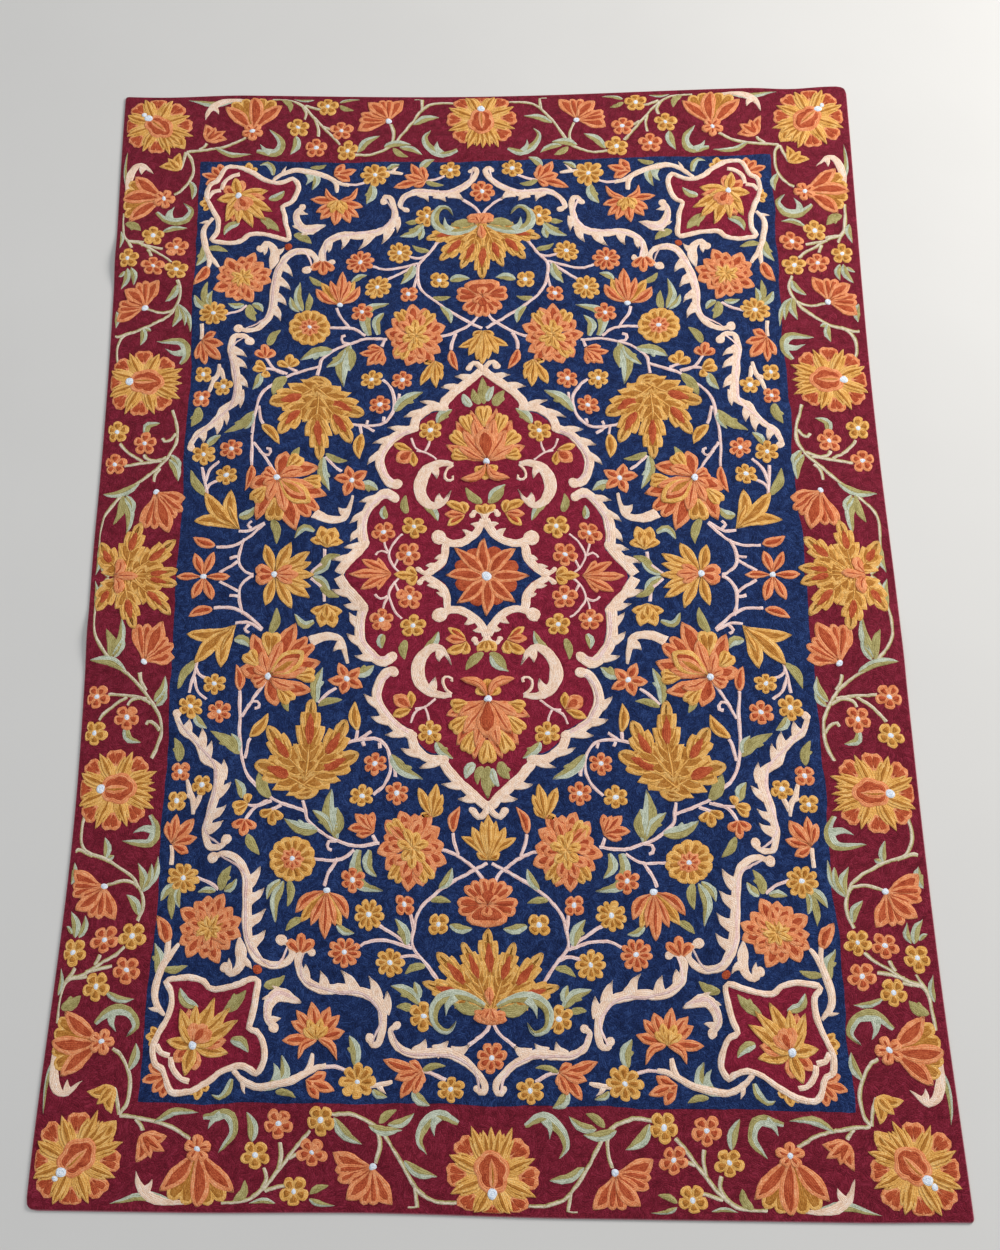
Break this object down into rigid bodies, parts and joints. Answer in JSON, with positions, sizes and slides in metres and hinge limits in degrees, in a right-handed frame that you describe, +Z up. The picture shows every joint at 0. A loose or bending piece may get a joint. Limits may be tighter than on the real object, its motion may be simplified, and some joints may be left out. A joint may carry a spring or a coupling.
{
  "type": "kashmiri chain stitch rug",
  "caption": "Flat rectangular wool rug of one chain-stitched cloth, with a floral border, a flowered field and a scalloped medallion; it covers a floor.",
  "frame": {"origin": "centre of the underside, on the floor, at the middle of the rug's bounding box", "axes": "+X across the rug, +Y along its length, +Z up out of its face"},
  "size_m": [1.2238, 1.8482, 0.01],
  "materials": {
    "wool_stitching": "matt wool chain stitch in rows, maroon border and medallion, navy field, peach, orange, gold, rust and sage motifs"
  },
  "bodies": {
    "root": {"rug_cloth": "wool_stitching"}
  },
  "joints": []
}
